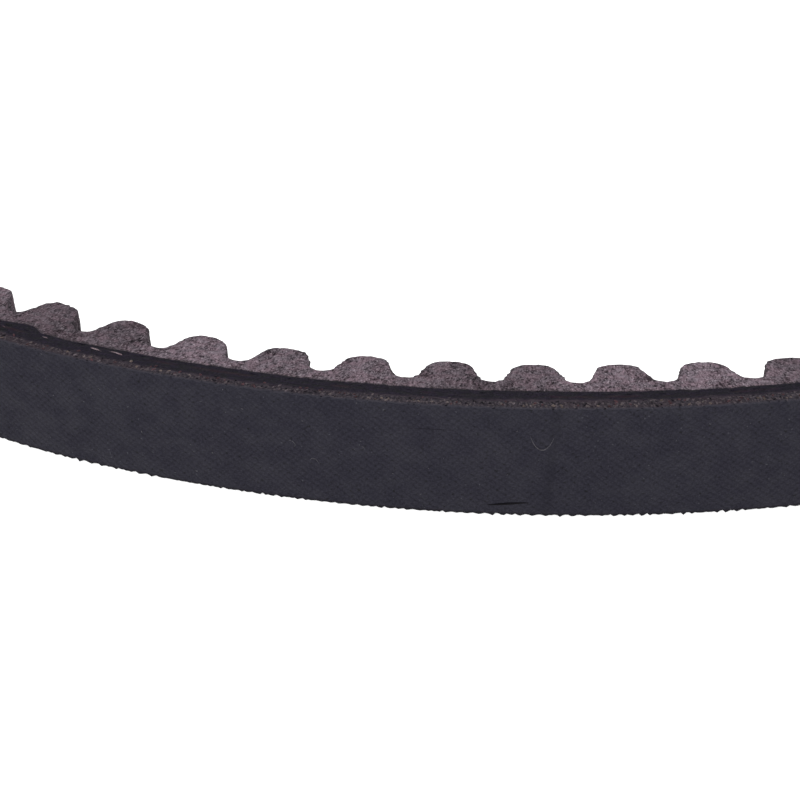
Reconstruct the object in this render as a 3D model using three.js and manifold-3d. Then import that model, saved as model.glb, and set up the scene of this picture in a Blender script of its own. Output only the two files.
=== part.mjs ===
// Raw-edge cogged V-belt: a ring of bonded layers with slanted side walls and moulded cogs inside.
// Frame: origin at the centre of the loop, halfway across the belt; +Z along the axis of the loop.
// Depth means the distance inwards from the back of the belt. Millimetres throughout.
import * as THREE from 'three';
import { mergeVertices } from 'three/addons/utils/BufferGeometryUtils.js';
import Module from 'manifold-3d';

const wasm = await Module();
wasm.setup();

// Driving dimensions
const TOP_WIDTH = 13;
const HEIGHT = 10;
const SIDE_SLOPE = Math.tan(THREE.MathUtils.degToRad(20));
const OUTSIDE_LENGTH = 965;
const COG_COUNT = 118;

// Depth at which each layer begins, and the gap that stands for the bond between two layers
const INNER_PLY_DEPTH = 0.8;
const OVERCORD_DEPTH = 1.6;
const UNDERCORD_DEPTH = 3.3;
const BASE_PLY_DEPTH = 3.75;
const COGGED_RUBBER_DEPTH = 4.95;
const BOND_LINE = 0.02;

// Cogs. Half widths are arcs measured along the back of the belt.
const VALLEY_DEPTH = 5.87;
const FLANK_DEPTH = 7.94;
const FLANK_HALF_WIDTH = 2.37;
const FLANK_LEAN = 0.293;
const CREST_CORNER_RADIUS = 1.4;
const CREST_CORNER_STEPS = 2;
const VALLEY_CORNER_RADIUS = 1.0;
const VALLEY_CORNER_STEPS = 1;

// Tensile cords: two cords lie side by side in one spiral, pressed into the overcord rubber.
// The knife that cuts the side walls cuts the cords off at a slant where they run out.
const CORD_DIAMETER = 0.9;
const CORD_DEPTH = 2.8;
const CORD_SPACING = 1.2;
const CORD_SIDES = 6;
const CORD_CLEARANCE = 0.05;
const CORD_OVERRUN = 0.7;
const CORD_START_FLAT = -2;

// Derived sizes
const OUTSIDE_RADIUS = OUTSIDE_LENGTH / (2 * Math.PI);
const COG_PITCH_ANGLE = 2 * Math.PI / COG_COUNT;
const FLAT_COUNT = COG_COUNT / 2;
const FIRST_VALLEY_ANGLE = COG_PITCH_ANGLE / 2;

function halfWidthAt(depth) {
  return TOP_WIDTH / 2 - depth * SIDE_SLOPE;
}

// A point of the loop's plane. Angle 0 is at -Y, and positive angles turn towards +X.
function loopPoint(depth, angle) {
  const radius = OUTSIDE_RADIUS - depth;
  return new THREE.Vector2(radius * Math.sin(angle), -radius * Math.cos(angle));
}

// Bonded faces are prisms whose corners lie over the valleys between cogs
function prismOutline(depth, flats) {
  const outline = [];
  for (let flat = 0; flat < flats; flat += 1) {
    outline.push(loopPoint(depth, FIRST_VALLEY_ANGLE + flat * 2 * Math.PI / flats));
  }
  return outline;
}

// Points that round a corner, where along and flank are unit vectors pointing away from it
function roundedCorner(corner, radius, along, flank, steps) {
  const turn = Math.PI - along.angleTo(flank);
  const reach = radius * Math.tan(turn / 2);
  const start = corner.clone().addScaledVector(along, reach);
  const end = corner.clone().addScaledVector(flank, reach);
  return new THREE.QuadraticBezierCurve(start, corner, end).getPoints(steps);
}

// Right half of one cog, from its crest to the valley, as points of (arc along the back, depth)
function halfCogProfile() {
  const crestReach = FLANK_HALF_WIDTH - FLANK_LEAN * (HEIGHT - FLANK_DEPTH);
  const valleyReach = FLANK_HALF_WIDTH + FLANK_LEAN * (FLANK_DEPTH - VALLEY_DEPTH);
  const crestCorner = new THREE.Vector2(crestReach, HEIGHT);
  const valleyCorner = new THREE.Vector2(valleyReach, VALLEY_DEPTH);
  const toValley = valleyCorner.clone().sub(crestCorner).normalize();
  const toCrest = toValley.clone().negate();
  const left = new THREE.Vector2(-1, 0);
  const right = new THREE.Vector2(1, 0);
  const crest = roundedCorner(crestCorner, CREST_CORNER_RADIUS, left, toValley, CREST_CORNER_STEPS);
  const valley = roundedCorner(valleyCorner, VALLEY_CORNER_RADIUS, right, toCrest, VALLEY_CORNER_STEPS);
  return [...crest, ...valley.reverse()];
}

function cogOutline() {
  const rightHalf = halfCogProfile();
  const leftHalf = rightHalf.map((point) => new THREE.Vector2(-point.x, point.y)).reverse();
  const outline = [];
  for (let cog = 0; cog < COG_COUNT; cog += 1) {
    for (const point of [...leftHalf, ...rightHalf]) {
      const angle = cog * COG_PITCH_ANGLE + point.x / OUTSIDE_RADIUS;
      outline.push(loopPoint(point.y, angle));
    }
  }
  return outline;
}

// A ring between two outlines, whose side walls follow the wedge of the belt
function wedgeRing(outerOutline, innerOutline) {
  const shape = new THREE.Shape(outerOutline);
  shape.holes.push(new THREE.Path(innerOutline));
  const geometry = new THREE.ExtrudeGeometry(shape, { depth: 1, steps: 1, bevelEnabled: false });
  const position = geometry.getAttribute('position');
  for (let index = 0; index < position.count; index += 1) {
    const radius = Math.hypot(position.getX(index), position.getY(index));
    const side = position.getZ(index) > 0 ? 1 : -1;
    position.setZ(index, side * halfWidthAt(OUTSIDE_RADIUS - radius));
  }
  geometry.computeVertexNormals();
  return geometry;
}

function layer(startDepth, endDepth) {
  const outer = prismOutline(startDepth + BOND_LINE / 2, FLAT_COUNT);
  const inner = prismOutline(endDepth - BOND_LINE / 2, FLAT_COUNT);
  return wedgeRing(outer, inner);
}

function toSolid(geometry) {
  const bare = geometry.clone();
  bare.deleteAttribute('normal');
  bare.deleteAttribute('uv');
  const merged = mergeVertices(bare);
  const vertProperties = new Float32Array(merged.getAttribute('position').array);
  const triVerts = new Uint32Array(merged.getIndex().array);
  return new wasm.Manifold(new wasm.Mesh({ numProp: 3, vertProperties, triVerts }));
}

// A cut can leave loose slivers beside the piece itself, so only the largest piece is kept
function toGeometry(solid) {
  const pieces = solid.decompose();
  const largest = pieces.reduce((best, piece) => (piece.volume() > best.volume() ? piece : best));
  const mesh = largest.getMesh();
  const geometry = new THREE.BufferGeometry();
  geometry.setAttribute('position', new THREE.BufferAttribute(mesh.vertProperties, 3));
  geometry.setIndex(new THREE.BufferAttribute(mesh.triVerts, 1));
  geometry.computeVertexNormals();
  return geometry;
}

class CordHelix extends THREE.Curve {
  constructor(startHeight, turns) {
    super();
    this.startHeight = startHeight;
    this.turns = turns;
  }

  getPoint(t) {
    const startAngle = FIRST_VALLEY_ANGLE + CORD_START_FLAT * 2 * Math.PI / FLAT_COUNT;
    const place = loopPoint(CORD_DEPTH, startAngle + t * this.turns * 2 * Math.PI);
    const height = this.startHeight - t * this.turns * 2 * CORD_SPACING;
    return new THREE.Vector3(place.x, place.y, height);
  }
}

// Sweeps a section along cord 0 or 1, from above the upper side wall to below the lower one
function sweptAlongCord(section, cord) {
  const edge = halfWidthAt(CORD_DEPTH) + CORD_OVERRUN;
  const steps = Math.ceil((edge + CORD_SPACING) / CORD_SPACING * FLAT_COUNT);
  const path = new CordHelix(edge + (1 - cord) * CORD_SPACING, steps / FLAT_COUNT);
  return new THREE.ExtrudeGeometry(section, { extrudePath: path, steps, bevelEnabled: false });
}

function cordSection() {
  const corners = [];
  for (let corner = 0; corner < CORD_SIDES; corner += 1) {
    const angle = corner * 2 * Math.PI / CORD_SIDES;
    corners.push(new THREE.Vector2(Math.cos(angle), Math.sin(angle)).multiplyScalar(CORD_DIAMETER / 2));
  }
  return new THREE.Shape(corners);
}

function tensileCord(cord) {
  const whole = toSolid(sweptAlongCord(cordSection(), cord));
  const beltBody = toSolid(layer(OVERCORD_DEPTH, BASE_PLY_DEPTH));
  return toGeometry(whole.intersect(beltBody));
}

// Section of the groove that a cord lies in, open towards the undercord rubber
function grooveSection() {
  const reach = CORD_DIAMETER / 2 + CORD_CLEARANCE;
  const mouth = UNDERCORD_DEPTH - CORD_DEPTH + CORD_CLEARANCE;
  return new THREE.Shape([
    new THREE.Vector2(-reach, -reach),
    new THREE.Vector2(reach, -reach),
    new THREE.Vector2(reach, mouth),
    new THREE.Vector2(-reach, mouth),
  ]);
}

function overcordRubber() {
  const sheet = toSolid(layer(OVERCORD_DEPTH, UNDERCORD_DEPTH));
  const grooves = [0, 1].map((cord) => toSolid(sweptAlongCord(grooveSection(), cord)));
  return toGeometry(sheet.subtract(grooves[0]).subtract(grooves[1]));
}

function backFabricOuterPly() {
  const outer = prismOutline(0, COG_COUNT);
  const inner = prismOutline(INNER_PLY_DEPTH - BOND_LINE / 2, FLAT_COUNT);
  return wedgeRing(outer, inner);
}

function coggedCompressionRubber() {
  const outer = prismOutline(COGGED_RUBBER_DEPTH + BOND_LINE / 2, FLAT_COUNT);
  return wedgeRing(outer, cogOutline());
}

function part(name, geometry, color, roughness) {
  const material = new THREE.MeshStandardMaterial({ color, roughness, metalness: 0 });
  const mesh = new THREE.Mesh(geometry, material);
  mesh.name = name;
  return mesh;
}

const belt = new THREE.Group();
belt.add(
  part('back_fabric_outer_ply', backFabricOuterPly(), '#35343b', 0.85),
  part('back_fabric_inner_ply', layer(INNER_PLY_DEPTH, OVERCORD_DEPTH), '#4a3a37', 0.9),
  part('overcord_rubber', overcordRubber(), '#2c282e', 0.8),
  part('tensile_cord_z_twist', tensileCord(0), '#b08a86', 0.7),
  part('tensile_cord_s_twist', tensileCord(1), '#a8807c', 0.7),
  part('undercord_rubber', layer(UNDERCORD_DEPTH, BASE_PLY_DEPTH), '#29262b', 0.8),
  part('compression_base_ply', layer(BASE_PLY_DEPTH, COGGED_RUBBER_DEPTH), '#645962', 0.95),
  part('cogged_compression_rubber', coggedCompressionRubber(), '#5f555e', 0.95),
);

export default belt;
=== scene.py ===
"""Looks of a raw-edge cogged V-belt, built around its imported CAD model.

Lengths are millimetres inside this script, and become metres when a mesh is made.
Depth is the distance inwards from the belt's back, and across is the height above mid-width.
Angle 0 is at -Y, and positive angles turn towards +X, as in the CAD model.
"""
import math

import bpy
import numpy as np
from mathutils import Matrix, Vector


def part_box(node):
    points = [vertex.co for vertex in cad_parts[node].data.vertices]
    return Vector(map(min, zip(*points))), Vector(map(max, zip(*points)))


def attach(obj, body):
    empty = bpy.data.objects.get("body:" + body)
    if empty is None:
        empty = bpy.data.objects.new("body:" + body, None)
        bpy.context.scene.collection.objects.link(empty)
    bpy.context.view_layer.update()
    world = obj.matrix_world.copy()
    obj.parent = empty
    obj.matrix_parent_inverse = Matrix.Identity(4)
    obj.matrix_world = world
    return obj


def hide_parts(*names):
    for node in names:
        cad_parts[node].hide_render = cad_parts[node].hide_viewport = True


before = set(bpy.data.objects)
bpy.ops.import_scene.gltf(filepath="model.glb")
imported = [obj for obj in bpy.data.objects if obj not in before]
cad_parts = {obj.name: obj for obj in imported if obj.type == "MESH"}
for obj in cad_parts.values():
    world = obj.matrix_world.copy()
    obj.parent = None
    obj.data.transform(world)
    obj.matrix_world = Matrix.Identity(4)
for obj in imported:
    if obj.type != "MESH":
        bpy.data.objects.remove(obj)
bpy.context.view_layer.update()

MM = 0.001
BODY = "root"

# ------ sizes, read from the frame


def node_box(node):
    low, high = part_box(node)
    return np.array(low) / MM, np.array(high) / MM


_, back_high = node_box("back_fabric_outer_ply")
OUTSIDE_RADIUS = back_high[0]
HALF_WIDTH = back_high[2]
OUTSIDE_LENGTH = 2 * math.pi * OUTSIDE_RADIUS


def layer_start(node):
    """Depth at which a layer begins: every layer has a corner of its flats at -X."""
    low, _ = node_box(node)
    return OUTSIDE_RADIUS + low[0]


INNER_PLY = layer_start("back_fabric_inner_ply")
OVERCORD = layer_start("overcord_rubber")
UNDERCORD = layer_start("undercord_rubber")
BASE_PLY = layer_start("compression_base_ply")
COGGED = layer_start("cogged_compression_rubber")
SIDE_SLOPE = (HALF_WIDTH - node_box("compression_base_ply")[1][2]) / BASE_PLY

# Cogs and cords follow the CAD model, with rounder corners and the two flanks a little unlike
COG_COUNT = 118
COG_PITCH_ANGLE = 2 * math.pi / COG_COUNT
CREST = 10.0
VALLEY = 5.8
FLANK_DEPTH = 7.94
# Half width at that depth, lean, crest radius and valley radius of a cog's two flanks
FIRST_FLANK = (2.46, 0.27, 1.80, 1.15)
SECOND_FLANK = (2.48, 0.38, 1.94, 1.42)
CORD_DEPTH = 2.8
CORD_DIAMETER = 0.9
CORD_SPACING = 1.2
CORD_START_ANGLE = COG_PITCH_ANGLE / 2 - 4 * COG_PITCH_ANGLE


def half_width_at(depth):
    return HALF_WIDTH - depth * SIDE_SLOPE


# ------ smooth random variation


def harmonics(seed, longest, shortest, count=24, total=OUTSIDE_LENGTH):
    """Random waves that close on themselves over total millimetres, and are between longest and
    shortest millimetres long."""
    random = np.random.default_rng(seed)
    low = total / longest
    high = total / shortest
    number = np.round(np.exp(random.uniform(np.log(low), np.log(high), count)))
    phase = random.uniform(0, 2 * math.pi, count)
    return number, phase


def along_noise(angles, seed, longest, shortest, size):
    """Smooth noise along the loop, of root mean square size."""
    number, phase = harmonics(seed, longest, shortest)
    waves = np.sin(angles[:, None] * number + phase)
    return size * waves.sum(1) * math.sqrt(2 / len(number))


def surface_noise(angles, across, seed, longest, shortest, size):
    """Smooth noise over a surface. Angles and across are arrays of one shape."""
    number, phase = harmonics(seed, longest, shortest)
    turn = np.random.default_rng(seed + 1).uniform(-1.3, 1.3, len(number))
    total = np.zeros(np.shape(angles))
    for n, p, t in zip(number, phase, turn):
        rise = n / OUTSIDE_RADIUS * math.tan(t)
        total += np.sin(angles * n + across * rise + p)
    return size * total * math.sqrt(2 / len(number))


# ------ meshes

SHARP_ANGLE = math.radians(40)
# Next to its splice the belt is drawn in a little: (arc in the middle, reach, how far in)
DRAWN_IN = (-56.0, 7.0, 0.35)


def hump(arc, middle, reach, height):
    """A smooth rise and fall along the belt."""
    return height * np.exp(-((arc - middle) / reach) ** 2)


def loop_points(angles, depth, across):
    """Places in the shared frame, in millimetres."""
    arc = (angles + math.pi) % (2 * math.pi) * OUTSIDE_RADIUS - OUTSIDE_LENGTH / 2
    radius = OUTSIDE_RADIUS - depth - hump(arc, *DRAWN_IN)
    x = radius * np.sin(angles)
    y = -radius * np.cos(angles)
    return np.stack([x, y, across + 0 * x], -1)


def make_piece(name, points, faces, materials):
    """A smooth object from points in millimetres."""
    mesh = bpy.data.meshes.new(name)
    mesh.from_pydata(points * MM, [], faces)
    for material in materials:
        mesh.materials.append(material)
    mesh.shade_smooth()
    piece = bpy.data.objects.new(name, mesh)
    bpy.context.scene.collection.objects.link(piece)
    return piece


def ring_faces(turns, sides):
    """Corners of the quads between neighbouring steps and neighbouring section points."""
    column = np.arange(turns)[:, None]
    following = (column + 1) % turns
    row = np.arange(sides)
    beyond = (row + 1) % sides
    corners = (column * sides + row, following * sides + row,
               following * sides + beyond, column * sides + beyond)
    return np.stack(corners, -1).reshape(-1, 4)


def ring_piece(name, angles, depth, across, materials, strip_material, paints):
    """A closed ring. angles, depth and across are arrays [step round the loop, point round the
    section], strip_material gives the material of the strip that follows each section point, and
    paints holds further arrays for the material graph, under their names."""
    turns, sides = depth.shape
    faces = ring_faces(turns, sides)
    points = loop_points(angles, depth, across).reshape(-1, 3)
    piece = make_piece(name, points, faces.tolist(), materials)
    face_material = np.tile(strip_material, turns).astype(np.int32)
    piece.data.polygons.foreach_set("material_index", face_material)
    piece.data.set_sharp_from_angle(angle=SHARP_ANGLE)

    # Place on the belt at every face corner: arc along the back, across, depth
    arc = angles * OUTSIDE_RADIUS
    next_arc = np.roll(arc, -1, 0)
    next_arc[-1] += OUTSIDE_LENGTH
    corner_arc = np.stack([arc, next_arc, np.roll(next_arc, -1, 1), np.roll(arc, -1, 1)], -1)
    corner_vertex = faces.reshape(-1)
    place = np.stack([corner_arc.reshape(-1), across.reshape(-1)[corner_vertex],
                      depth.reshape(-1)[corner_vertex]], -1)
    attribute = piece.data.attributes.new("belt_place", "FLOAT_VECTOR", "CORNER")
    attribute.data.foreach_set("vector", place.astype(np.float32).reshape(-1))
    for paint_name, values in paints.items():
        attribute = piece.data.attributes.new(paint_name, "FLOAT", "POINT")
        attribute.data.foreach_set("value", values.astype(np.float32).reshape(-1))
    return piece


def even_angles(count):
    return -math.pi + np.arange(count) * 2 * math.pi / count


def finish_piece(piece, slot, *nodes):
    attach(piece, BODY)
    if nodes:
        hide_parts(*nodes)


# ------ material graphs


class Graph:
    """A material whose nodes are made by short calls. Places are in millimetres."""

    def __init__(self, name, roughness, specular):
        self.material = bpy.data.materials.new(name)
        self.material.use_nodes = True
        self.tree = self.material.node_tree
        self.shader = self.tree.nodes["Principled BSDF"]
        self.shader.inputs["Roughness"].default_value = roughness
        self.shader.inputs["Specular IOR Level"].default_value = specular

    def _connect(self, socket, value):
        if isinstance(value, bpy.types.NodeSocket):
            self.tree.links.new(value, socket)
        elif isinstance(value, (tuple, list)) and len(value) == 3 and socket.type == "RGBA":
            socket.default_value = (*value, 1)
        else:
            socket.default_value = value

    def math(self, operation, *values):
        node = self.tree.nodes.new("ShaderNodeMath")
        node.operation = operation
        for socket, value in zip(node.inputs, values):
            self._connect(socket, value)
        return node.outputs[0]

    def plus(self, first, second):
        return self.math("ADD", first, second)

    def minus(self, first, second):
        return self.math("SUBTRACT", first, second)

    def times(self, first, second):
        return self.math("MULTIPLY", first, second)

    def place(self):
        """Sockets for the arc, across and depth of a place on the belt."""
        node = self.tree.nodes.new("ShaderNodeAttribute")
        node.attribute_name = "belt_place"
        split = self.tree.nodes.new("ShaderNodeSeparateXYZ")
        self._connect(split.inputs[0], node.outputs["Vector"])
        return split.outputs[0], split.outputs[1], split.outputs[2]

    def vector(self, x, y, z=0.0):
        node = self.tree.nodes.new("ShaderNodeCombineXYZ")
        for socket, value in zip(node.inputs, (x, y, z)):
            self._connect(socket, value)
        return node.outputs[0]

    def solid_place(self):
        """Object coordinates in millimetres, which have no seam."""
        node = self.tree.nodes.new("ShaderNodeTexCoord")
        scale = self.tree.nodes.new("ShaderNodeVectorMath")
        scale.operation = "SCALE"
        self._connect(scale.inputs[0], node.outputs["Object"])
        scale.inputs["Scale"].default_value = 1 / MM
        return scale.outputs[0]

    def noise(self, vector, feature, detail, roughness=0.5):
        """Noise whose features are about that many millimetres wide, from 0 to 1."""
        node = self.tree.nodes.new("ShaderNodeTexNoise")
        self._connect(node.inputs["Vector"], vector)
        node.inputs["Scale"].default_value = 1 / feature
        node.inputs["Detail"].default_value = detail
        node.inputs["Roughness"].default_value = roughness
        return node.outputs[0]

    def painted(self, name, output="Fac"):
        """Values painted on the points of the piece."""
        node = self.tree.nodes.new("ShaderNodeAttribute")
        node.attribute_name = name
        return node.outputs[output]

    def step(self, value, low, high, start=0.0, end=1.0):
        """Goes smoothly from start to end while value goes from low to high."""
        node = self.tree.nodes.new("ShaderNodeMapRange")
        node.interpolation_type = "SMOOTHSTEP"
        for socket, number in zip(node.inputs, (value, low, high, start, end)):
            self._connect(socket, number)
        return node.outputs[0]

    def span(self, value, low, high):
        """Goes straight from 0 to 1 while value goes from low to high."""
        node = self.tree.nodes.new("ShaderNodeMapRange")
        for socket, number in zip(node.inputs, (value, low, high, 0.0, 1.0)):
            self._connect(socket, number)
        return node.outputs[0]

    def mix(self, factor, first, second, blend="MIX"):
        node = self.tree.nodes.new("ShaderNodeMix")
        node.data_type = "RGBA"
        node.blend_type = blend
        self._connect(node.inputs[0], factor)
        self._connect(node.inputs[6], first)
        self._connect(node.inputs[7], second)
        return node.outputs[2]

    def colour(self, value):
        self._connect(self.shader.inputs["Base Color"], value)

    def roughness(self, value):
        self._connect(self.shader.inputs["Roughness"], value)

    def bump(self, height, depth_mm):
        """Surface relief: height 0 to 1 stands for that many millimetres."""
        node = self.tree.nodes.new("ShaderNodeBump")
        node.inputs["Strength"].default_value = 1.0
        node.inputs["Distance"].default_value = depth_mm * MM
        self._connect(node.inputs["Height"], height)
        self._connect(self.shader.inputs["Normal"], node.outputs[0])


# ------ materials

# Yarns of the back fabric run on the bias. Each family's waves close round the loop.
FALLING_YARNS = 1042
RISING_YARNS = 1273
FALLING_TILT = math.tan(math.radians(50))
RISING_TILT = -math.tan(math.radians(43.5))
WEAVE_DEPTH = 0.042
# A faint line where the cloth was spliced crosses mid-width here, and leans along the belt
SPLICE_ARC = 1.7
SPLICE_LEAN = 0.06
# The back's lower edge is dark over this width
DARK_RIM = 0.35


def yarn_wave(graph, arc, across, count, tilt, warp):
    """Rises and falls once over two yarns of one family."""
    per_mm = count / OUTSIDE_LENGTH
    along = graph.times(arc, per_mm)
    up = graph.times(across, per_mm * tilt)
    phase = graph.plus(graph.plus(along, up), warp)
    return graph.math("SINE", graph.times(phase, math.pi))


def woven_height(graph, arc, across, solid):
    """Height of a plain weave, from 0 in the pits to 1 on the crowns."""
    drift = graph.minus(graph.noise(solid, 6.0, 2.0), 0.5)
    jitter = graph.minus(graph.noise(solid, 0.9, 2.0), 0.5)
    warp = graph.plus(graph.times(drift, 1.6), graph.times(jitter, 0.5))
    falling = yarn_wave(graph, arc, across, FALLING_YARNS, FALLING_TILT, warp)
    rising = yarn_wave(graph, arc, across, RISING_YARNS, RISING_TILT, warp)
    crossing = graph.times(graph.times(falling, rising), 0.08)
    falling_top = graph.times(graph.math("ABSOLUTE", falling), 0.50)
    rising_top = graph.times(graph.math("ABSOLUTE", rising), 0.40)
    return graph.plus(graph.plus(falling_top, rising_top), crossing)


def back_fabric():
    graph = Graph("back_fabric_rubbered_weave", 0.78, 0.15)
    arc, across, _ = graph.place()
    solid = graph.solid_place()
    height = woven_height(graph, arc, across, solid)
    fill = graph.noise(solid, 2.2, 3.0, 0.6)
    grain = graph.noise(graph.vector(arc, across), 0.19, 2.0, 0.6)
    blotch = graph.noise(solid, 7.0, 3.0, 0.6)
    base = graph.mix(graph.step(height, 0.15, 0.9), (0.0104, 0.0096, 0.0165), (0.0162, 0.0151, 0.0238))
    base = graph.mix(graph.step(blotch, 0.42, 0.6, 0.0, 0.2), base, (0.0106, 0.0106, 0.0180))
    base = graph.mix(graph.step(grain, 0.5, 0.66, 0.0, 0.5), base, (0.026, 0.024, 0.035))
    base = graph.mix(graph.step(grain, 0.36, 0.5, 0.5, 0.0), base, (0.0055, 0.0050, 0.0095))
    pit = graph.step(graph.noise(solid, 0.26, 1.0), 0.62, 0.70)
    pit = graph.times(pit, graph.step(height, 0.25, 0.6, 0.9, 0.3))
    base = graph.mix(pit, base, (0.002, 0.002, 0.003))
    aside = graph.minus(arc, graph.times(across, SPLICE_LEAN))
    aside = graph.math("ABSOLUTE", graph.minus(aside, SPLICE_ARC))
    base = graph.mix(graph.step(aside, 0.15, 0.7, 0.3, 0.0), base, (0.0060, 0.0055, 0.0100))
    # The back is darker towards its lower edge.
    darker_lower_edge = graph.step(across, -HALF_WIDTH, DARK_RIM - HALF_WIDTH, 0.8, 0.0)
    base = graph.mix(darker_lower_edge, base, (0.0030, 0.0026, 0.0045))
    lint = graph.step(graph.noise(solid, 0.22, 0.0), 0.82, 0.86, 0.0, 0.4)
    base = graph.mix(lint, base, (0.09, 0.09, 0.10))
    graph.colour(base)
    graph.roughness(graph.step(fill, 0.3, 0.7, 0.65, 0.88))
    relief = graph.plus(graph.times(height, 0.8), graph.times(grain, 0.8))
    relief = graph.plus(relief, graph.times(fill, 0.25))
    graph.bump(relief, WEAVE_DEPTH)
    return graph.material


def cut_fabric_edge():
    graph = Graph("cut_fabric_edge", 0.9, 0.05)
    arc, _, depth = graph.place()
    solid = graph.solid_place()
    shred = graph.noise(graph.vector(arc, graph.times(depth, 0.5)), 0.24, 3.0, 0.7)
    stretch = graph.noise(solid, 5.0, 2.0)
    base = graph.mix(graph.span(shred, 0.34, 0.66), (0.008, 0.006, 0.009), (0.062, 0.053, 0.065))
    base = graph.mix(graph.step(stretch, 0.5, 0.62, 0.0, 0.4), base, (0.036, 0.023, 0.029))
    drawn = graph.vector(arc, graph.times(depth, 0.5), 7.0)
    fleck = graph.step(graph.noise(drawn, 0.27, 1.0), 0.54, 0.64, 0.0, 0.75)
    base = graph.mix(fleck, base, (0.096, 0.079, 0.087))
    gap = graph.step(graph.noise(graph.vector(arc, depth, 19.0), 0.30, 1.0), 0.56, 0.66, 0.0, 0.55)
    base = graph.mix(gap, base, (0.008, 0.006, 0.010))
    rubbered = graph.step(graph.plus(depth, graph.times(shred, 0.5)), 0.35, 0.8)
    base = graph.mix(rubbered, (0.038, 0.036, 0.048), base)
    graph.colour(base)
    graph.bump(shred, 0.10)
    return graph.material


# The plies wander in depth where they were wound on, in slow waves that close round the loop
WANDER_WAVES = 8
WANDER_PHASE = 1.04
PLY_WANDER = 0.3


def gum_rubber():
    graph = Graph("gum_rubber_cut_edge", 0.75, 0.04)
    arc, across, depth = graph.place()
    solid = graph.solid_place()
    smear = graph.noise(graph.vector(graph.times(arc, 0.5), depth, across), 0.45, 3.0, 0.6)
    grain = graph.noise(graph.vector(arc, graph.times(depth, 0.5)), 0.20, 2.0, 0.6)
    base = graph.mix(graph.span(smear, 0.35, 0.65), (0.0020, 0.0018, 0.0045), (0.019, 0.015, 0.026))
    base = graph.mix(graph.step(grain, 0.34, 0.5, 0.6, 0.0), base, (0.002, 0.002, 0.003))
    stretch = graph.noise(solid, 8.0, 2.0)
    reddish = graph.step(graph.noise(solid, 5.0, 2.0), 0.52, 0.62, 0.0, 0.4)
    from_cord = graph.math("ABSOLUTE", graph.minus(depth, CORD_DEPTH))
    near_cord = graph.step(from_cord, 0.1, 0.35, 1.0, 0.0)
    base = graph.mix(graph.times(reddish, near_cord), base, (0.026, 0.010, 0.015))
    wander = graph.minus(graph.times(arc, WANDER_WAVES / OUTSIDE_RADIUS), WANDER_PHASE)
    wander = graph.times(graph.math("COSINE", wander), -PLY_WANDER)
    edge = graph.plus(graph.plus(depth, wander), graph.times(graph.minus(stretch, 0.5), -1.2))
    edge = graph.plus(edge, graph.times(graph.minus(smear, 0.5), 1.2))
    base = graph.mix(graph.step(edge, 1.5, 2.2, 1.0, 0.0), base, (0.033, 0.024, 0.033))
    base = graph.mix(graph.step(grain, 0.58, 0.72, 0.0, 0.4), base, (0.036, 0.030, 0.041))
    graph.colour(base)
    graph.roughness(graph.step(smear, 0.4, 0.6, 0.65, 0.85))
    graph.bump(graph.plus(grain, smear), 0.05)
    return graph.material


def fibre_rubber(name, dark, light, stretch):
    """Rubber full of chopped fibre, whose grain is drawn out along (arc, across, depth)."""
    graph = Graph(name, 0.95, 0.03)
    arc, across, depth = graph.place()
    solid = graph.solid_place()
    stretched = [graph.times(socket, factor) for socket, factor in zip((arc, across, depth), stretch)]
    drawn = graph.vector(*stretched)
    strokes = graph.noise(drawn, 0.20, 3.0, 0.6)
    clumps = graph.noise(drawn, 0.5, 2.0, 0.6)
    mottle = graph.noise(drawn, 1.7, 2.0, 0.5)
    grain = graph.plus(graph.times(strokes, 0.5), graph.times(clumps, 0.3))
    grain = graph.plus(grain, graph.times(mottle, 0.2))
    base = graph.mix(graph.span(grain, 0.39, 0.61), dark, light)
    hue = graph.noise(solid, 1.1, 1.0)
    base = graph.mix(graph.step(hue, 0.42, 0.58, 0.0, 0.6), base, (1.10, 0.95, 0.97), "MULTIPLY")
    pit = graph.step(graph.noise(drawn, 0.26, 2.0, 0.6), 0.60, 0.70, 0.0, 0.6)
    base = graph.mix(pit, base, (0.010, 0.008, 0.010))
    fleck = graph.step(graph.noise(drawn, 0.22, 1.0, 0.5), 0.60, 0.70, 0.0, 0.5)
    base = graph.mix(fleck, base, (0.37, 0.31, 0.345))
    shade = graph.painted("shade")
    base = graph.mix(1.0, base, graph.vector(shade, shade, shade), "MULTIPLY")
    # Darker near the cogs' rims and near the seam with the black rubber. At the seam this is the rubber's
    # own colour. At the rims it is partly wear and partly painted shade where a wall rolls over into the
    # moulded face.
    rim_wear_and_shade_jitter = graph.times(graph.minus(grain, 0.5), 1.6)
    rim = graph.plus(graph.painted("rim_distance"), rim_wear_and_shade_jitter)
    base = graph.mix(graph.step(rim, 0.0, 0.4, 0.7, 0.0), base, (0.034, 0.029, 0.033))
    graph.colour(base)
    graph.bump(graph.minus(grain, pit), 0.10)
    return graph.material


def dipped_cord():
    graph = Graph("dipped_polyester_cord", 0.7, 0.2)
    solid = graph.solid_place()
    fibre = graph.noise(solid, 0.12, 2.0, 0.6)
    smear = graph.noise(solid, 1.6, 2.0)
    base = graph.mix(graph.step(fibre, 0.35, 0.65), (0.120, 0.075, 0.087), (0.250, 0.190, 0.210))
    base = graph.mix(graph.step(smear, 0.56, 0.66), base, (0.040, 0.016, 0.022))
    graph.colour(base)
    graph.bump(fibre, 0.04)
    return graph.material


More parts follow.
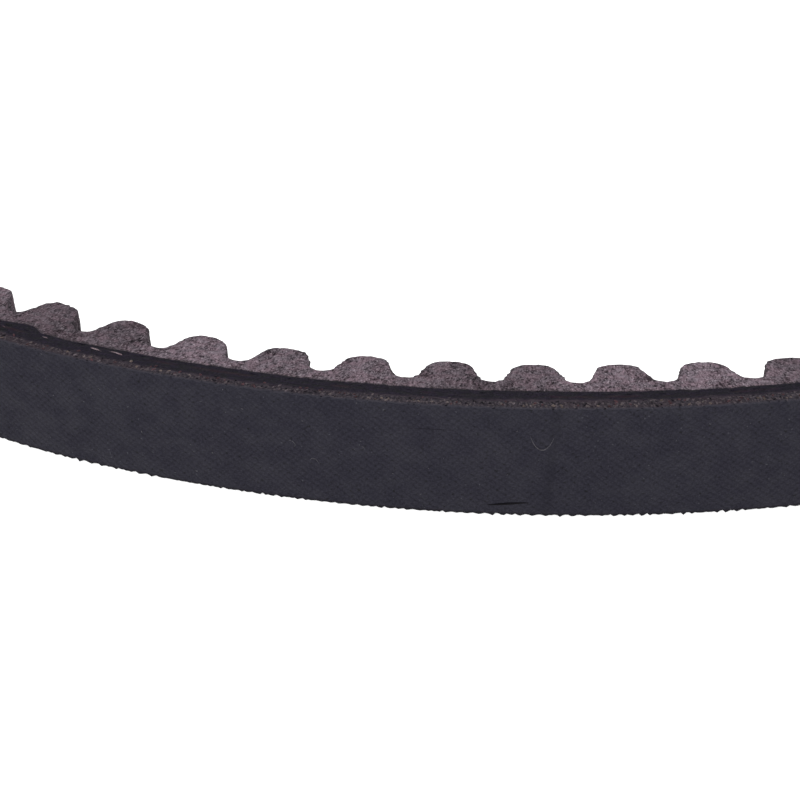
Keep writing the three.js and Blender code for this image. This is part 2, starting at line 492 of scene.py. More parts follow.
def tinted_fibre(name):
    """Yarn ends, lint and folds: each bit's colour is painted on its points, and the folds' dark tints are
    painted shade.
    """
    graph = Graph(name, 0.8, 0.08)
    solid = graph.solid_place()
    strand = graph.noise(solid, 0.10, 2.0, 0.7)
    shade = graph.mix(graph.step(strand, 0.35, 0.65), (0.4, 0.38, 0.4), (1.3, 1.25, 1.25))
    graph.colour(graph.mix(1.0, graph.painted("tint", "Color"), shade, "MULTIPLY"))
    graph.bump(strand, 0.05)
    return graph.material


# ------ layers

# Where the black rubber sheet laps over itself: (arc, extra thickness)
LAP = np.array([(-52.3, 0.0), (-49.0, 0.9), (-47.5, -0.18), (-44.5, -0.22), (-41.0, 0.0)])
# Its inner side wanders in slow waves, and lies a little deeper than in the CAD model
SHEET_WAVES = 12
SHEET_WANDER = 0.14
SHEET_LOW = 0.04
# Waves: (seed, longest, shortest, size)
SHADE_WAVES = (8029, 70, 13, 0.15)
UPPER_FRAY_WAVES = (31, 2.0, 0.6, 0.05)
LOWER_FRAY_WAVES = (33, 1.3, 0.5, 0.07)
BACK_WAVES = (41, 9.0, 1.2, 0.012)
# Longest and shortest waves of the lines between layers, and of the cut side walls
SLOW_WAVES = (120, 8)
QUICK_WAVES = (6, 1.2)
WALL_WAVES = (3.0, 0.7)
WALL_ROUGHNESS = 0.02
# The lower fringe stands this far out on average
LOWER_FRINGE = 0.05
# The cloth's face lies this far inside the CAD model's
CLOTH_SUNK = 0.02
LAYER_STEPS = 16 * COG_COUNT
CLOTH_STEPS = 32 * COG_COUNT
CLOTH_WALL_ROWS = 4
CLOTH_BACK_ROWS = 17
# Share of the distance from a seam that counts as distance from a rim
SEAM_SOFTNESS = 0.9
# Next to the splice, painted shade darkens the fibre-filled rubber: (arc in the middle, reach, change)
SPLICE_PAINTED_SHADE = (-50.5, 4.5, -0.10)


def boundary_wave(angles, seed, size):
    """How far the line between two layers wanders from its depth."""
    slow = along_noise(angles, seed, *SLOW_WAVES, size)
    quick = along_noise(angles, seed + 1, *QUICK_WAVES, size / 2)
    return slow + quick


def undercord_end(angles):
    """Depth where the black rubber ends."""
    lapped = np.interp(angles * OUTSIDE_RADIUS, LAP[:, 0], LAP[:, 1])
    wander = SHEET_LOW + SHEET_WANDER * np.cos(SHEET_WAVES * angles)
    return BASE_PLY + boundary_wave(angles, 11, 0.05) + wander + lapped


def inner_ply_start(angles):
    return INNER_PLY + boundary_wave(angles, 21, 0.03)


def overcord_start(angles):
    wander = PLY_WANDER * np.cos(WANDER_WAVES * angles - WANDER_PHASE)
    return OVERCORD + boundary_wave(angles, 23, 0.06) + wander


def undercord_start(angles):
    return UNDERCORD + boundary_wave(angles, 25, 0.03)


def cogged_start(angles):
    return COGGED + 0 * angles


def shade_at(angles):
    """How light the fibre-filled rubber is, which varies from cog to cog, with painted shade next to the
    splice.
    """
    noise = along_noise(angles.reshape(-1), *SHADE_WAVES).reshape(angles.shape)
    return np.clip(1 + noise + hump(angles * OUTSIDE_RADIUS, *SPLICE_PAINTED_SHADE), 0.6, 1.4)


def side_rows(start, end, fractions):
    """Depth and across of points down the upper side wall, between two depth arrays."""
    depth = start[:, None] + (end - start)[:, None] * fractions
    return depth, half_width_at(depth)


def layer_piece(name, start, end, material, rows, seed):
    """A bonded layer: outer face, upper side wall, inner face, lower side wall."""
    angles = even_angles(LAYER_STEPS)
    depth, across = side_rows(start(angles), end(angles), np.linspace(0, 1, rows))
    grid = angles[:, None] + 0 * depth
    upper = across + surface_noise(grid, depth, seed, *WALL_WAVES, WALL_ROUGHNESS)
    lower = -across + surface_noise(grid, depth, seed + 2, *WALL_WAVES, WALL_ROUGHNESS)
    all_depth = np.concatenate([depth, depth[:, ::-1]], 1)
    all_across = np.concatenate([upper, lower[:, ::-1]], 1)
    strips = np.zeros(2 * rows, int)
    turn = angles[:, None] + 0 * all_depth
    from_seam = SEAM_SOFTNESS * (all_depth - start(angles)[:, None])
    paints = {"rim_distance": from_seam, "shade": shade_at(turn)}
    return ring_piece(name, turn, all_depth, all_across, [material], strips, paints)


def back_outer_ply(cloth, edge):
    """The outer ply, whose two edges are frayed and whose back is cloth."""
    angles = even_angles(CLOTH_STEPS)
    upper_fray = along_noise(angles, *UPPER_FRAY_WAVES)
    lower_fray = along_noise(angles, *LOWER_FRAY_WAVES) - LOWER_FRINGE
    fractions = np.linspace(0, 1, CLOTH_WALL_ROWS)
    depth, across = side_rows(0 * angles, inner_ply_start(angles), fractions)
    fade = (1 - fractions) ** 1.5
    upper = across + upper_fray[:, None] * fade
    lower = -across + lower_fray[:, None] * fade
    rise = np.linspace(-1, 1, CLOTH_BACK_ROWS + 2)[1:-1]
    back_across = rise[None, :] * HALF_WIDTH + 0 * angles[:, None]
    grid = angles[:, None] + 0 * back_across
    back_depth = CLOTH_SUNK + surface_noise(grid, back_across, *BACK_WAVES)
    all_depth = np.concatenate([depth, depth[:, ::-1], back_depth], 1)
    all_across = np.concatenate([upper, lower[:, ::-1], back_across], 1)
    strips = np.ones(all_depth.shape[1], int)
    strips[2 * CLOTH_WALL_ROWS - 1:] = 0
    turn = angles[:, None] + 0 * all_depth
    return ring_piece("back_cloth_outer_ply", turn, all_depth, all_across, [cloth, edge], strips, {})


# ------ cogs

RIM_ROUNDING = 0.2
COG_SAMPLES = 38
FLANK_SAMPLES = 12
# How the cogs differ: seed, and spread of height (share), width (share) and place
COG_SEED = 7
TALL_SPREAD = 0.012
WIDE_SPREAD = 0.015
SHIFT_SPREAD = 0.04
# Unevenness of the moulded outline and of the cut walls: (seed, longest, shortest, size)
OUTLINE_WAVES = (51, 2.5, 0.6, 0.03)
OUTLINE_WAVE_COUNT = 40
UPPER_WALL_WAVES = (61, 3.0, 0.7, 0.015)
LOWER_WALL_WAVES = (63, 3.0, 0.7, 0.015)
# Rows of points: down a side wall (share of depth), round its rim (angle), and over the moulded
# face (share of half width)
WALL_ROWS = (0, 0.35, 0.62, 0.82, 0.94, 1.0)
RIM_ROWS = (0.8, math.pi / 2)
FACE_ROWS = (0.78, 0.45, 0.15, -0.15, -0.45, -0.78)
FACE_SEED = 71
FACE_WAVES = (6.0, 1.2, 0.02)
BURR_SHARE = 0.12
BURR_HEIGHT = 0.15
# A wall point looks for its nearest rim among this many outline points either way
RIM_SEARCH = 24
RIM_NEAR = 0.1
RIM_FAR = 9.0

# By the splice the cogs crowd together, the rubber is thicker, the crests stand taller, the
# second shoulders are worn and one crest carries a nib. Further on the rubber is a little thicker
# and then thinner, and one flank bulges. Each is (arc in the middle, reach, by how much).
CROWD = (-60.0, 9.0, 0.36)
THICKER = ((-54.0, 12.0, 0.5), (-6.0, 18.0, 0.32), (12.0, 9.0, 0.12), (27.0, 7.0, -0.4))
TALLER = (-42.0, 10.0, 0.45)
WORN = (-38.5, 11.0, 0.55)
WORN_SHOULDER = 2.0
NIB = (-50.2, 0.3, 0.3)
BULGE = (-21.9, 0.9, 0.3)


def flank(half_width, flank_lean, crest_radius, valley_radius):
    """Arc and depth from a cog's crest down one flank into the valley, as if at positive arc."""
    turn = math.pi / 2 - math.atan(flank_lean)
    crest_reach = half_width - flank_lean * (CREST - FLANK_DEPTH)
    valley_reach = half_width + flank_lean * (FLANK_DEPTH - VALLEY)
    crest_flat = crest_reach - crest_radius * math.tan(turn / 2)
    valley_flat = valley_reach + valley_radius * math.tan(turn / 2)
    swing = np.linspace(0, turn, FLANK_SAMPLES)
    crest_arc = crest_flat + crest_radius * np.sin(swing)
    crest_depth = CREST - crest_radius * (1 - np.cos(swing))
    valley_arc = valley_flat - valley_radius * np.sin(swing[::-1])
    valley_depth = VALLEY + valley_radius * (1 - np.cos(swing[::-1]))
    return np.concatenate([crest_arc, valley_arc]), np.concatenate([crest_depth, valley_depth])


def cog_profile():
    """Arc and depth along the outline for one pitch, and its length."""
    first_arc, first_depth = flank(*FIRST_FLANK)
    second_arc, second_depth = flank(*SECOND_FLANK)
    pitch = COG_PITCH_ANGLE * OUTSIDE_RADIUS
    arc = np.concatenate([-first_arc[::-1], second_arc, [pitch - first_arc[-1]]])
    depth = np.concatenate([first_depth[::-1], second_depth, [VALLEY]])
    run = np.append(0, np.cumsum(np.hypot(np.diff(arc), np.diff(depth))))
    even = np.linspace(0, run[-1], COG_SAMPLES, endpoint=False)
    return np.interp(even, run, arc), np.interp(even, run, depth), run[-1]


def outline_noise(total, count, seed, longest, shortest, size):
    """Noise along the whole moulded outline, which is total millimetres long."""
    number, phase = harmonics(seed, longest, shortest, OUTLINE_WAVE_COUNT, total)
    run = np.arange(count) * 2 * math.pi / count
    return size * np.sin(run[:, None] * number + phase).sum(1) * math.sqrt(2 / OUTLINE_WAVE_COUNT)


def burrs(count, seed):
    """Small upstanding crumbs at random points of the outline."""
    random = np.random.default_rng(seed)
    standing = random.uniform(0, 1, count) < BURR_SHARE
    return standing * random.uniform(0.3, 1.0, count) * BURR_HEIGHT


def all_cogs():
    """Arc and depth along the outline of all the cogs, how far up its cog each point stands, from
    0 in the valleys to 1 on the crests, and the length of the outline."""
    arc, depth, run = cog_profile()
    random = np.random.default_rng(COG_SEED)
    cog_arc = (np.arange(COG_COUNT) - COG_COUNT // 2) * OUTSIDE_LENGTH / COG_COUNT
    tall = random.normal(0, TALL_SPREAD, (COG_COUNT, 1))
    wide = random.normal(0, WIDE_SPREAD, (COG_COUNT, 1))
    shift = random.normal(0, SHIFT_SPREAD, (COG_COUNT, 1))
    inside = (depth - VALLEY) / (CREST - VALLEY)
    shoulder = np.tile(inside * np.clip(arc / WORN_SHOULDER, 0, 1), COG_COUNT)
    arc = (cog_arc[:, None] + arc * (1 + wide * inside) + shift * inside).reshape(-1)
    arc = arc + hump(arc, *CROWD)
    depth = (depth + tall * (CREST - VALLEY) * inside).reshape(-1)
    height = np.tile(inside, COG_COUNT)
    depth = depth + sum(hump(arc, *stretch) for stretch in THICKER)
    depth = depth + hump(arc, *TALLER) * height
    depth = depth - hump(arc, *WORN) * shoulder
    return arc, depth, height, run * COG_COUNT


def into_rubber(arc, depth):
    """Direction into the rubber, square to the outline, as arc and depth."""
    step_arc = np.roll(arc, -1) - np.roll(arc, 1)
    step_arc[[0, -1]] += OUTSIDE_LENGTH
    step_depth = np.roll(depth, -1) - np.roll(depth, 1)
    length = np.hypot(step_arc, step_depth)
    return step_depth / length, -step_arc / length


def rim_distances(arc, depth, all_arc, all_depth):
    """Distance of every wall point from the nearest edge of the grey rubber, which is darker there: partly
    wear, and at the rims partly painted shade where a wall rolls over.
    """
    wall_count = len(WALL_ROWS)
    rim_count = wall_count + len(RIM_ROWS)
    sides = all_depth.shape[1]
    rim = np.full(all_depth.shape, RIM_FAR)
    rim[:, wall_count:rim_count] = RIM_NEAR
    rim[:, sides - rim_count:sides - wall_count] = RIM_NEAR
    seam = SEAM_SOFTNESS * (all_depth - undercord_end(all_arc[:, 0] / OUTSIDE_RADIUS)[:, None])
    for row in range(wall_count):
        nearest = seam[:, row]
        for offset in range(-RIM_SEARCH, RIM_SEARCH + 1):
            away_arc = np.roll(arc, offset) - all_arc[:, row]
            away_arc = (away_arc + OUTSIDE_LENGTH / 2) % OUTSIDE_LENGTH - OUTSIDE_LENGTH / 2
            away_depth = np.roll(depth, offset) - all_depth[:, row]
            nearest = np.minimum(nearest, np.hypot(away_arc, away_depth))
        rim[:, row] = nearest
        rim[:, sides - 1 - row] = nearest
    return rim


def cogged_rows(arc, depth, height, total):
    """Rows of points (arc, depth, across) round the section, from the upper wall's outer edge over
    the moulded face to the lower wall's."""
    count = len(arc)
    inward_arc, inward_depth = into_rubber(arc, depth)
    wave = outline_noise(total, count, *OUTLINE_WAVES)
    wave += (depth > FLANK_DEPTH) * hump(arc, *NIB) + height * hump(arc, *BULGE)

    def outline(inset):
        move = inset - wave
        return arc + inward_arc * move, depth + inward_depth * move

    rows = []
    inset_arc, inset_depth = outline(RIM_ROUNDING)
    for fraction in WALL_ROWS:
        row_depth = COGGED + (inset_depth - COGGED) * fraction
        rows.append((inset_arc, row_depth, half_width_at(row_depth)))
    for swing in RIM_ROWS:
        inset = RIM_ROUNDING * (1 - math.sin(swing)) - burrs(count, int(swing * 100))
        rim_arc, rim_depth = outline(inset)
        drop = RIM_ROUNDING * (1 - math.cos(swing))
        rows.append((rim_arc, rim_depth, half_width_at(rim_depth) - drop))
    upper_rows = list(rows)
    for number, share in enumerate(FACE_ROWS):
        face_arc, face_depth = outline(outline_noise(total, count, FACE_SEED + number, *FACE_WAVES))
        rows.append((face_arc, face_depth, half_width_at(face_depth) * share))
    for row_arc, row_depth, row_across in reversed(upper_rows):
        rows.append((row_arc, row_depth, -row_across))
    return rows


def cogged_piece(ground, moulded):
    """The cogged rubber: two ground side walls, and a moulded face between their rounded rims."""
    arc, depth, height, total = all_cogs()
    rows = cogged_rows(arc, depth, height, total)
    all_arc, all_depth, all_across = [np.stack(values, 1) for values in zip(*rows)]
    all_angles = all_arc / OUTSIDE_RADIUS
    upper_wall = slice(0, len(WALL_ROWS))
    lower_wall = slice(len(rows) - len(WALL_ROWS), len(rows))
    for wall, waves in ((upper_wall, UPPER_WALL_WAVES), (lower_wall, LOWER_WALL_WAVES)):
        all_across[:, wall] += surface_noise(all_angles[:, wall], all_depth[:, wall], *waves)
    strips = np.zeros(len(rows), int)
    last_rim = len(WALL_ROWS) + len(RIM_ROWS) - 1
    strips[last_rim:last_rim + 1 + len(FACE_ROWS)] = 1
    rim = rim_distances(arc, depth, all_arc, all_depth)
    paints = {"rim_distance": rim, "shade": shade_at(all_angles)}
    materials = [ground, moulded]
    return ring_piece("cogged_rubber", all_angles, all_depth, all_across, materials, strips, paints)


# ------ cords

CORD_LAY = 7.2
STRAND_COUNT = 3
STRAND_SIDES = 6
CORD_OVERRUN = 0.7
CUT_PROUD = 0.04
BURIED_BY = 0.032
# Where a cord that lies just under the upper wall strays out through it: (arc, reach, how far)
PEEPS = ((-40.2, 2.2, 0.102), (-47.3, 1.0, 0.040))
JUST_UNDER = 0.13
FINE_STEP = 0.4
BURIED_STEP = 1.7
NEAR_CUT_MARGIN = 0.12


def cord_course(cord):
    """Angle and height along one cord, in fine steps where the side walls cut it."""
    edge = half_width_at(CORD_DEPTH) + CORD_OVERRUN
    start = edge + (1 - cord) * CORD_SPACING
    length = (edge + CORD_SPACING) / CORD_SPACING * 2 * math.pi * (OUTSIDE_RADIUS - CORD_DEPTH)
    per_mm = 1 / (OUTSIDE_RADIUS - CORD_DEPTH)
    fall = 2 * CORD_SPACING / (2 * math.pi) * per_mm
    wall = half_width_at(CORD_DEPTH)
    run = [0.0]
    while run[-1] < length:
        height = start - run[-1] * fall
        near_cut = abs(abs(height) - wall) < CORD_DIAMETER / 2 + NEAR_CUT_MARGIN
        run.append(run[-1] + (FINE_STEP if near_cut else BURIED_STEP))
    run = np.array(run)
    height = start - run * fall
    keep = np.abs(height) < wall + CORD_DIAMETER / 2
    angles = CORD_START_ANGLE + run[keep] * per_mm
    height = height[keep]
    arc = (angles + math.pi) % (2 * math.pi) * OUTSIDE_RADIUS - OUTSIDE_LENGTH / 2
    just_under = np.abs(height + CORD_DIAMETER / 2 - wall) < JUST_UNDER
    height -= BURIED_BY
    for peep_arc, reach, rise in PEEPS:
        height += just_under * rise * np.exp(-((arc - peep_arc) / reach) ** 4)
    return angles, height, run[keep]


def cord_piece(name, cord, twist, first_swing, material):
    """Three twisted strands along one spiral, cut flush with both side walls."""
    angles, height, run = cord_course(cord)
    strand_radius = CORD_DIAMETER / 2 / (1 + 2 / math.sqrt(3))
    orbit = CORD_DIAMETER / 2 - strand_radius
    sides = STRAND_SIDES
    count = len(angles)
    points = []
    faces = []
    for strand in range(STRAND_COUNT):
        swing = twist * run * 2 * math.pi / CORD_LAY + first_swing + strand * 2 * math.pi / STRAND_COUNT
        middle_depth = CORD_DEPTH + orbit * np.cos(swing)
        middle_across = height + orbit * np.sin(swing)
        round_angle = np.arange(sides) * 2 * math.pi / sides + math.pi / 6
        depth = middle_depth[:, None] + strand_radius * np.cos(round_angle)
        across = middle_across[:, None] + strand_radius * np.sin(round_angle)
        limit = half_width_at(depth) + CUT_PROUD
        across = np.clip(across, -limit, limit)
        first = strand * count * sides
        points.append(loop_points(angles[:, None], depth, across).reshape(-1, 3))
        row_start = first + np.arange(count - 1)[:, None] * sides
        a = row_start + np.arange(sides)
        b = row_start + (np.arange(sides) + 1) % sides
        quads = np.stack([a, b, b + sides, a + sides], -1).reshape(-1, 4)
        faces.extend(quads.tolist())
        faces.append([first + k for k in range(sides)][::-1])
        last = first + (count - 1) * sides
        faces.append([last + k for k in range(sides)])
    return make_piece(name, np.concatenate(points), faces, [material])


# ------ yarn ends

# Tints, how common each is in a bright and in a dim row, and how it gathers in patches
YARN_TINTS = np.array([
    (0.124, 0.105, 0.107),
    (0.110, 0.088, 0.080),
    (0.112, 0.097, 0.108),
    (0.066, 0.034, 0.040),
    (0.052, 0.043, 0.052),
    (0.010, 0.008, 0.013),
])
TINT_WEIGHTS = {"bright": np.array([1.0, 1.0, 0.8, 1.0, 1.3, 0.7]),
                "dim": np.array([0.12, 0.12, 0.12, 1.3, 1.6, 1.6])}
TINT_PATCHES = np.array([0.2, 1.0, 0.2, 0.5, -0.4, -0.8])
CLOTH_TINT = np.array((0.022, 0.021, 0.030))
# Rows on the side wall: (depth, yarns round the loop, share in sight, kind)
YARN_ROWS = (
    (0.18, FALLING_YARNS, 0.80, "cloth"),
    (0.72, FALLING_YARNS, 0.75, "bright"),
    (1.05, RISING_YARNS, 0.85, "bright"),
    (1.4, FALLING_YARNS, 0.6, "dim"),
    (1.72, RISING_YARNS, 0.4, "dim"),
)
YARN_SEEDS = {1: 101, -1: 103}
PATCH_SEED = 200
PATCH_WAVES = (60, 4, 1.0)
ROW_SPREAD = 0.09
# Least and most length by kind, width, height and brightness of a yarn end, and most lean
LENGTHS = {"cloth": (0.10, 0.15), "bright": (0.20, 0.34), "dim": (0.20, 0.34)}
WIDTHS = (0.10, 0.17)
HEIGHTS = (0.03, 0.08)
BRIGHTNESS = (0.55, 1.15)
LEAN = 0.7
DOME_SIDES = 7
# Rings of a dome from its rim to its top: (spread, lift, share of the height)
DOME_RINGS = ((1.0, -0.05, 0.0), (0.75, 0.0, 0.55), (0.35, 0.0, 1.0))
RING_TWIST = 0.4
# Beyond the splice most of the yarn ends are smeared over: (arc in the middle, reach, share)
SMEARED = (-58.0, 9.0, 0.8)
# Further on they are brighter than elsewhere: (arc in the middle, reach, how much brighter)
BRIGHTER_YARN_ENDS = (-34.0, 17.0, 0.25)


def paint(piece, name, colours):
    attribute = piece.data.color_attributes.new(name, "FLOAT_COLOR", "POINT")
    data = np.ones((len(colours), 4), np.float32)
    data[:, :3] = colours
    attribute.data.foreach_set("color", data.reshape(-1))


def dome(random, arc, depth, long, wide, lean, high):
    """Points (arc, depth, lift) of a low irregular dome, ring by ring from its rim to its top."""
    points = []
    for ring, (spread, lift, share) in enumerate(DOME_RINGS):
        for k in range(DOME_SIDES):
            turn = k * 2 * math.pi / DOME_SIDES + ring * RING_TWIST
            a = long * spread * math.cos(turn) * random.uniform(0.8, 1.2)
            b = wide * spread * math.sin(turn) * random.uniform(0.8, 1.2)
            points.append((arc + a * math.cos(lean) - b * math.sin(lean),
                           depth + a * math.sin(lean) + b * math.cos(lean),
                           lift + share * high))
    return points


def dome_faces(first):
    faces = []
    for ring in range(len(DOME_RINGS) - 1):
        row = first + ring * DOME_SIDES
        for k in range(DOME_SIDES):
            a = row + k
            b = row + (k + 1) % DOME_SIDES
            faces.append((a, b, b + DOME_SIDES, a + DOME_SIDES))
    top = first + (len(DOME_RINGS) - 1) * DOME_SIDES
    faces.append(tuple(top + k for k in range(DOME_SIDES)))
    faces.append(tuple(first + k for k in range(DOME_SIDES))[::-1])
    return faces


def yarn_tint(random, kind, patch):
    if kind == "cloth":
        return CLOTH_TINT
    weights = TINT_WEIGHTS[kind] * np.exp(TINT_PATCHES * patch)
    return YARN_TINTS[random.choice(len(YARN_TINTS), p=weights / weights.sum())]


def yarn_ends(name, side, material):
    """Cut yarn ends on one side wall: low domes, in rows that follow the yarns of each ply."""
    random = np.random.default_rng(YARN_SEEDS[side])
    points = []
    faces = []
    tints = []
    for row_depth, count, share, kind in YARN_ROWS:
        numbers = np.arange(count) - count // 2
        arcs = (numbers + random.uniform(-0.3, 0.3, count)) * OUTSIDE_LENGTH / count
        visible = random.uniform(0, 1, count) < share * (1 - hump(arcs, *SMEARED))
        seed = PATCH_SEED + int(row_depth * 10)
        patch = along_noise(arcs / OUTSIDE_RADIUS, seed, *PATCH_WAVES)
        for index in np.nonzero(visible)[0]:
            tint = yarn_tint(random, kind, patch[index])
            long = random.uniform(*LENGTHS[kind])
            depth = row_depth + random.normal(0, ROW_SPREAD)
            wide = random.uniform(*WIDTHS)
            lean = math.pi / 2 + random.uniform(-LEAN, LEAN)
            high = random.uniform(*HEIGHTS)
            faces.extend(dome_faces(len(points)))
            points.extend(dome(random, arcs[index], depth, long, wide, lean, high))
            brightness = random.uniform(*BRIGHTNESS) * (1 + hump(arcs[index], *BRIGHTER_YARN_ENDS))
            tints.extend([tint * brightness] * (len(points) - len(tints)))
    arc, depth, lift = np.array(points).T
    depth = np.maximum(depth, 0.01)
    across = side * (half_width_at(depth) + lift)
    if side > 0:
        faces = [face[::-1] for face in faces]
    piece = make_piece(name, loop_points(arc / OUTSIDE_RADIUS, depth, across), faces, [material])
    paint(piece, "tint", np.array(tints))
    return piece


# ------ lint and folds on the back

PALE_LINT = (0.082, 0.082, 0.092)
# Folds in the cloth: their dark tints are painted shade laid over the folds' raised relief.
FOLD_PAINTED_SHADE = (0.0030, 0.0026, 0.0042)
FAINT_FOLD_PAINTED_SHADE = (0.009, 0.008, 0.013)
# Each line's four guiding points (arc, across), half width, height, where it is widest, and tint
BACK_LINES = (
    (((-0.2, 3.3), (0.3, 1.2), (1.3, 1.0), (1.9, 3.2)), 0.050, 0.05, 0.5, PALE_LINT),
    (((-20.2, -1.5), (-20.1, -0.9), (-19.5, -1.0), (-19.35, -1.9)), 0.028, 0.04, 0.5, PALE_LINT),
    (((-22.1, 0.8), (-21.6, 0.9), (-21.3, 0.3), (-21.6, 0.0)), 0.028, 0.04, 0.5, PALE_LINT),
    (((-4.1, -5.4), (-2.8, -5.3), (-1.6, -5.05), (-0.3, -5.0)), 0.140, 0.025, 0.55, FOLD_PAINTED_SHADE),
    (((-11.4, 3.72), (-10.0, 3.65), (-8.5, 3.72), (-7.0, 3.7)), 0.025, 0.012, 0.5, FAINT_FOLD_PAINTED_SHADE),
)
BACK_SPECKS = ((-20.6, 3.4), (-15.4, 1.6), (-15.2, 0.9), (-12.6, -2.1), (-2.2, -1.5), (6.3, -4.6))
LINE_SAMPLES = 18
LINE_SIDES = 6
LINT_SEED = 401
HAIR_COUNT = 28
HAIR_SIZE = (0.035, 0.04, 0.5)
SPECK_COUNT = 220
SPECK_SIZE = (0.06, 0.05, 0.5)
SPECK_REACH = 0.06
SPECK_ARC = 480
SPECK_ACROSS = 6


def back_line(guides, half_width, height, widest):
    """Points (arc, across, lift) of a thin raised line on the back, tapered to both ends. Its
    middle is a Bezier curve."""
    t = np.linspace(0, 1, LINE_SAMPLES)[:, None]
    p = np.array(guides)
    middle = (1 - t) ** 3 * p[0] + 3 * t * (1 - t) ** 2 * p[1] + 3 * t ** 2 * (1 - t) * p[2] + t ** 3 * p[3]
    heading = np.gradient(middle, axis=0)
    heading /= np.linalg.norm(heading, axis=1)[:, None]
    sideways = np.stack([-heading[:, 1], heading[:, 0]], -1)
    spread = np.where(t < widest, t / widest, (1 - t) / (1 - widest))
    taper = 0.15 + 0.85 * np.sin(spread * math.pi / 2)
    points = []
    for k in range(LINE_SIDES):
        turn = k * 2 * math.pi / LINE_SIDES
        flat = middle + sideways * half_width * taper * math.cos(turn)
        points.append(np.concatenate([flat, height * taper * math.sin(turn)], 1))
    return np.stack(points, 1).reshape(-1, 3)


def back_line_faces(first):
    faces = []
    for j in range(LINE_SAMPLES - 1):
        for k in range(LINE_SIDES):
            a = first + j * LINE_SIDES + k
            b = first + j * LINE_SIDES + (k + 1) % LINE_SIDES
            faces.append((a, b, b + LINE_SIDES, a + LINE_SIDES))
    last = first + (LINE_SAMPLES - 1) * LINE_SIDES
    faces.append(tuple(range(first + LINE_SIDES - 1, first - 1, -1)))
    faces.append(tuple(range(last, last + LINE_SIDES)))
    return faces


def random_hair(random):
    """Guiding points of a hair on the stretch of the back that the camera doesn't see."""
    arc = random.uniform(30, OUTSIDE_LENGTH - 60)
    start = np.array([arc, random.uniform(-4.5, 4.5)])
    steps = random.normal(0, 0.9, (3, 2))
    guides = np.concatenate([[start], start + np.cumsum(steps, 0)])
    guides[:, 1] = np.clip(guides[:, 1], -6, 6)
    return guides


def lint_lines():
    """Every line on the back, as BACK_LINES gives them. A speck is a very short line."""
    random = np.random.default_rng(LINT_SEED)
    lines = list(BACK_LINES)
    lines += [(random_hair(random), *HAIR_SIZE, PALE_LINT) for _ in range(HAIR_COUNT)]
    speck_arcs = random.uniform(-SPECK_ARC, SPECK_ARC, SPECK_COUNT)
    speck_across = random.uniform(-SPECK_ACROSS, SPECK_ACROSS, SPECK_COUNT)
    for middle in BACK_SPECKS + tuple(zip(speck_arcs, speck_across)):
        reach = random.normal(0, SPECK_REACH, 2)
        lines.append(((middle - reach, middle, middle, middle + reach), *SPECK_SIZE, PALE_LINT))
    return lines


def lint_and_folds_on_back(material):
    points = []
    faces = []
    tints = []
    for guides, half_width, height, widest, tint in lint_lines():
        faces.extend(back_line_faces(len(tints)))
        line = back_line(guides, half_width, height, widest)
        points.append(line)
        tints.extend([tint] * len(line))
    arc, across, lift = np.concatenate(points).T
    places = loop_points(arc / OUTSIDE_RADIUS, -lift, across)
    piece = make_piece("lint_and_folds_on_back", places, faces, [material])
    paint(piece, "tint", np.array(tints))
    return piece


# ------ stage, light and camera


# The floor lies this far below the lower side wall, to clear its frayed edge
FLOOR_GAP = 0.35


def stage():
    z = -(HALF_WIDTH + FLOOR_GAP) * MM
    half = 3.0
    mesh = bpy.data.meshes.new("studio_floor")
    mesh.from_pydata([(-half, -half, z), (half, -half, z), (half, half, z), (-half, half, z)],
                     [], [(0, 1, 2, 3)])
    floor = bpy.data.objects.new("studio_floor", mesh)
    bpy.context.scene.collection.objects.link(floor)
    graph = Graph("pale_floor", 0.9, 0.0)
    graph.shader.inputs["Base Color"].default_value = (0.8, 0.8, 0.8, 1)
    graph.shader.inputs["Emission Color"].default_value = (1, 1, 1, 1)
    graph.shader.inputs["Emission Strength"].default_value = 0.65
    mesh.materials.append(graph.material)


def world_light():
    world = bpy.data.worlds.new("studio_white")
    bpy.context.scene.world = world
    world.use_nodes = True
    background = world.node_tree.nodes["Background"]
    background.inputs["Color"].default_value = (1, 1, 1, 1)
    background.inputs["Strength"].default_value = 0.4


# Soft round lights, in metres: (name, place, target, size, watts)
LIGHTS = (
    ("key_light", (-0.05, -0.45, 0.40), (0, -0.15, 0), 0.2, 1.75),
    ("left_light", (-0.45, -0.40, 0.08), (-0.03, -0.15, 0), 0.15, 0.22),
    ("rear_light", (0.0, 0.35, 0.50), (0, 0.1, 0), 0.3, 1.2),
    ("right_fill", (0.38, 0.08, 0.07), (0.15, 0.03, 0), 0.2, 0.28),
    ("far_fill", (-0.08, 0.40, 0.07), (-0.03, 0.15, 0), 0.2, 0.28),
    ("far_left_fill", (-0.38, 0.14, 0.07), (-0.14, 0.05, 0), 0.2, 0.2),
)


def area_light(name, place, target, size, watts):
    data = bpy.data.lights.new(name, "AREA")
    data.shape = "DISK"
    data.size = size
    data.energy = watts
    lamp = bpy.data.objects.new(name, data)
    lamp.location = place
    aim = Vector(target) - Vector(place)
    lamp.rotation_euler = aim.to_track_quat("-Z", "Y").to_euler()
    bpy.context.scene.collection.objects.link(lamp)


# Angles are radians, and the lens is millimetres on a 36 mm sensor
CAMERA_PLACE = Vector((1.09, -292.06, 133.34)) * MM
CAMERA_YAW = -0.0913
CAMERA_PITCH = 0.7361
CAMERA_ROLL = -0.0447
CAMERA_LENS = 96.78


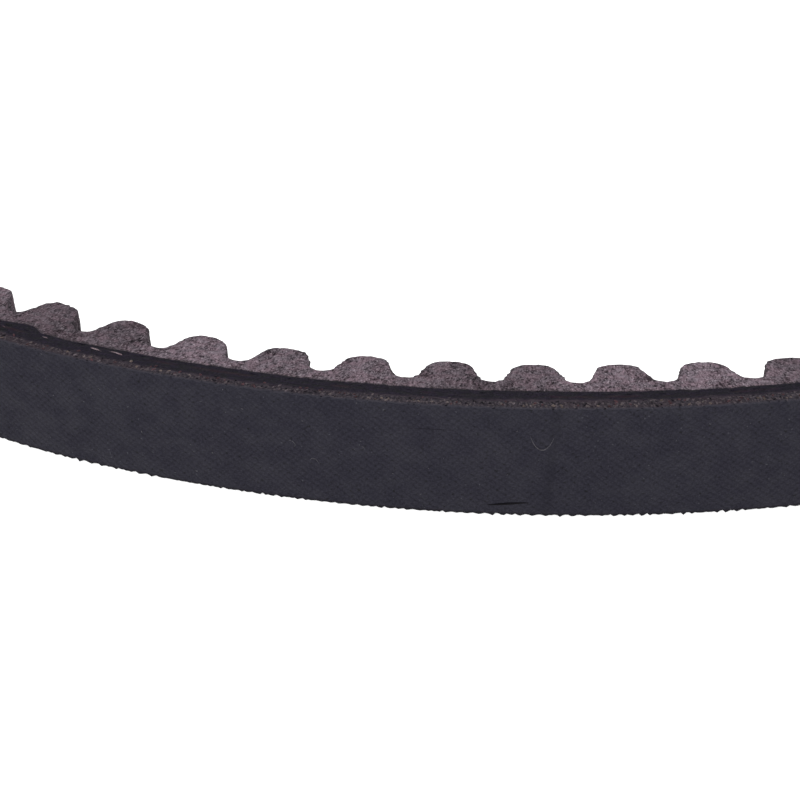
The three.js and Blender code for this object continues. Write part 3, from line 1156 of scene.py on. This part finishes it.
def camera():
    data = bpy.data.cameras.new("photo_view")
    data.lens = CAMERA_LENS
    data.sensor_width = 36
    data.clip_start = 0.01
    forward = Vector((math.sin(CAMERA_YAW) * math.cos(CAMERA_PITCH),
                      math.cos(CAMERA_YAW) * math.cos(CAMERA_PITCH), -math.sin(CAMERA_PITCH)))
    level = Vector((math.cos(CAMERA_YAW), -math.sin(CAMERA_YAW), 0))
    upright = level.cross(forward)
    right = math.cos(CAMERA_ROLL) * level + math.sin(CAMERA_ROLL) * upright
    up = -math.sin(CAMERA_ROLL) * level + math.cos(CAMERA_ROLL) * upright
    turn = Matrix((right, up, -forward)).transposed().to_4x4()
    eye = bpy.data.objects.new("photo_view", data)
    eye.matrix_world = Matrix.Translation(CAMERA_PLACE) @ turn
    bpy.context.scene.collection.objects.link(eye)
    bpy.context.scene.camera = eye


# ------ the belt

camera()
world_light()
for light in LIGHTS:
    area_light(*light)
stage()
bpy.context.scene.view_settings.view_transform = "Standard"

cloth = back_fabric()
edge = cut_fabric_edge()
gum = gum_rubber()
fibre_dark = (0.014, 0.011, 0.014)
ground = fibre_rubber("fibre_rubber_ground", fibre_dark, (0.204, 0.163, 0.192), (1.15, 1.0, 0.5))
moulded = fibre_rubber("fibre_rubber_moulded", fibre_dark, (0.185, 0.150, 0.176), (1.0, 0.7, 0.7))
cord_material = dipped_cord()
yarn_material = tinted_fibre("cut_yarn_ends")

outer_ply = back_outer_ply(cloth, edge)
finish_piece(outer_ply, "back_fabric", "back_fabric_outer_ply")

# Name, CAD node, slot, first and last depth, material, rows of points down the wall, and seed
layers = (
    ("back_cloth_inner_ply", "back_fabric_inner_ply", "inner_fabric",
     inner_ply_start, overcord_start, edge, 4, 300),
    ("overcord_gum", "overcord_rubber", "gum_rubber",
     overcord_start, undercord_start, gum, 5, 310),
    ("undercord_gum", "undercord_rubber", "gum_rubber",
     undercord_start, undercord_end, gum, 3, 320),
    ("compression_base_sheet", "compression_base_ply", "fibre_rubber",
     undercord_end, cogged_start, ground, 4, 330),
)
for name, node, slot, start, end, material, rows, seed in layers:
    finish_piece(layer_piece(name, start, end, material, rows, seed), slot, node)

cogs = cogged_piece(ground, moulded)
finish_piece(cogs, "fibre_rubber", "cogged_compression_rubber")

cords = (("cord_z_twist", "tensile_cord_z_twist", 0, 1, 0.3),
         ("cord_s_twist", "tensile_cord_s_twist", 1, -1, 0.0))
for name, node, cord, twist, first_swing in cords:
    finish_piece(cord_piece(name, cord, twist, first_swing, cord_material), "tensile_cord", node)

for name, side in (("yarn_ends_upper_wall", 1), ("yarn_ends_lower_wall", -1)):
    finish_piece(yarn_ends(name, side, yarn_material), "inner_fabric")

finish_piece(lint_and_folds_on_back(tinted_fibre("lint")), "back_fabric")
